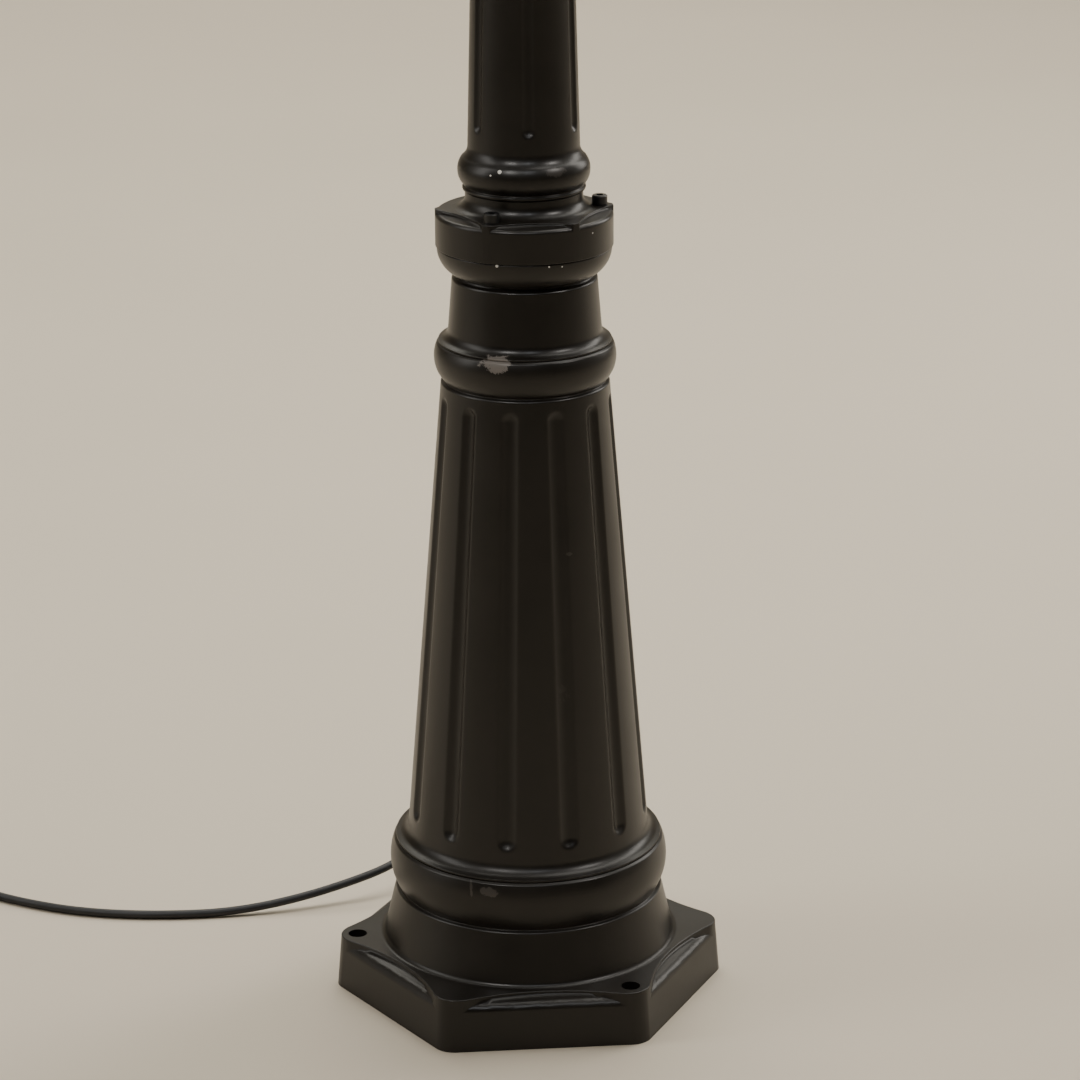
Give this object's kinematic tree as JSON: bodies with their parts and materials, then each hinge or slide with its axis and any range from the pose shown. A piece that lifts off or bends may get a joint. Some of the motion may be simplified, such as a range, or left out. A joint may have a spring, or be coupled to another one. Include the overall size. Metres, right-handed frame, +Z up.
{
  "type": "street clock",
  "caption": "Double-sided round clock on a fluted cast post with a scalloped hexagonal foot and a mains lead.",
  "frame": {"origin": "on the ground under the post's axis, the middle of the hexagonal foot", "axes": "+Z up the post; -Y is the front dial's side and square to one flat side of the foot; +X to the right of someone facing the front dial"},
  "size_m": [0.8228, 0.3942, 2.112],
  "materials": {
    "black_powder_coat": "satin black-brown powder coat",
    "black_screws": "black oxide",
    "zinc_steel": "zinc plated",
    "clock_brass": "machined",
    "dial_white": "opal acrylic with printed numerals",
    "hand_black": "satin black",
    "clear_glass": "clear",
    "black_rubber": "matte",
    "lead_jacket": "matte black PVC sheath",
    "black_nylon": "moulded nylon",
    "pin_brass": "bright",
    "grey_plastic": "moulded",
    "light_strip": "diffuser"
  },
  "bodies": {
    "post": {"cable_gland": "black_nylon", "case_grommet": "black_rubber", "case_screws": "black_screws", "clock_case": "black_powder_coat", "dial_screws": "black_screws", "door_seals": "black_rubber", "finial": "black_powder_coat", "finial_stud": "zinc_steel", "flange_screws": "black_screws", "front_dial": "dial_white", "front_dial_nut": "clock_brass", "front_motor": "zinc_steel", "front_movement_cover": "clock_brass", "front_movement_plate": "zinc_steel", "gland_dome_nut": "black_nylon", "gland_locknut": "black_nylon", "gland_seal": "black_rubber", "head_socket": "black_powder_coat", "hinge_pins": "zinc_steel", "inner_lead": "lead_jacket", "lead_bend_guard": "black_rubber", "lead_tail": "lead_jacket", "light_driver": "grey_plastic", "light_strips": "light_strip", "movement_strap": "zinc_steel", "pedestal_casting": "black_powder_coat", "plug_body": "black_nylon", "plug_pins": "pin_brass", "post_casting": "black_powder_coat", "power_lead": "lead_jacket", "rear_dial": "dial_white", "rear_dial_nut": "clock_brass", "rear_motor": "zinc_steel", "rear_movement_cover": "clock_brass", "rear_movement_plate": "zinc_steel", "socket_grub_screws": "black_screws", "stored_coil": "lead_jacket", "terminal_block": "grey_plastic"},
    "front_door": {"front_bezel": "black_powder_coat", "front_lens": "clear_glass", "front_lens_seal": "black_rubber", "front_lens_clips": "zinc_steel", "front_door_screw": "black_screws"},
    "front_minute": {"front_minute_arbor": "clock_brass", "front_minute_hand": "hand_black", "front_hand_nut": "clock_brass"},
    "front_hour": {"front_hour_wheel": "clock_brass", "front_hour_hand": "hand_black"},
    "front_idler": {"front_minute_wheel": "clock_brass"},
    "rear_door": {"rear_bezel": "black_powder_coat", "rear_lens": "clear_glass", "rear_lens_seal": "black_rubber", "rear_lens_clips": "zinc_steel", "rear_door_screw": "black_screws"},
    "rear_minute": {"rear_minute_arbor": "clock_brass", "rear_minute_hand": "hand_black", "rear_hand_nut": "clock_brass"},
    "rear_hour": {"rear_hour_wheel": "clock_brass", "rear_hour_hand": "hand_black"},
    "rear_idler": {"rear_minute_wheel": "clock_brass"}
  },
  "joints": [
    {"name": "front_door_hinge", "type": "hinge", "parent": "post", "child": "front_door", "pos_m": [-0.228, -0.06, 1.757], "axis": [0, 0, -1], "range_deg": [0, 110]},
    {"name": "front_minute_turn", "type": "hinge", "parent": "post", "child": "front_minute", "pos_m": [0, -0.03, 1.757], "axis": [0, 1, 0], "continuous": true},
    {"name": "front_hour_turn", "type": "hinge", "parent": "post", "child": "front_hour", "pos_m": [0, -0.03, 1.757], "axis": [0, 1, 0], "continuous": true},
    {"name": "front_idler_turn", "type": "hinge", "parent": "post", "child": "front_idler", "pos_m": [0, -0.03, 1.7762], "axis": [0, 1, 0], "continuous": true},
    {"name": "rear_door_hinge", "type": "hinge", "parent": "post", "child": "rear_door", "pos_m": [0.228, 0.06, 1.757], "axis": [0, 0, -1], "range_deg": [0, 110]},
    {"name": "rear_minute_turn", "type": "hinge", "parent": "post", "child": "rear_minute", "pos_m": [0, 0.03, 1.757], "axis": [0, -1, 0], "continuous": true},
    {"name": "rear_hour_turn", "type": "hinge", "parent": "post", "child": "rear_hour", "pos_m": [0, 0.03, 1.757], "axis": [0, -1, 0], "continuous": true},
    {"name": "rear_idler_turn", "type": "hinge", "parent": "post", "child": "rear_idler", "pos_m": [0, 0.03, 1.7762], "axis": [0, -1, 0], "continuous": true}
  ],
  "couplings": [
    {"joint": "front_hour_turn", "follows": "front_minute_turn", "ratio": 0.083333},
    {"joint": "front_idler_turn", "follows": "front_minute_turn", "ratio": -0.33333},
    {"joint": "rear_hour_turn", "follows": "rear_minute_turn", "ratio": 0.083333},
    {"joint": "rear_idler_turn", "follows": "rear_minute_turn", "ratio": -0.33333}
  ]
}
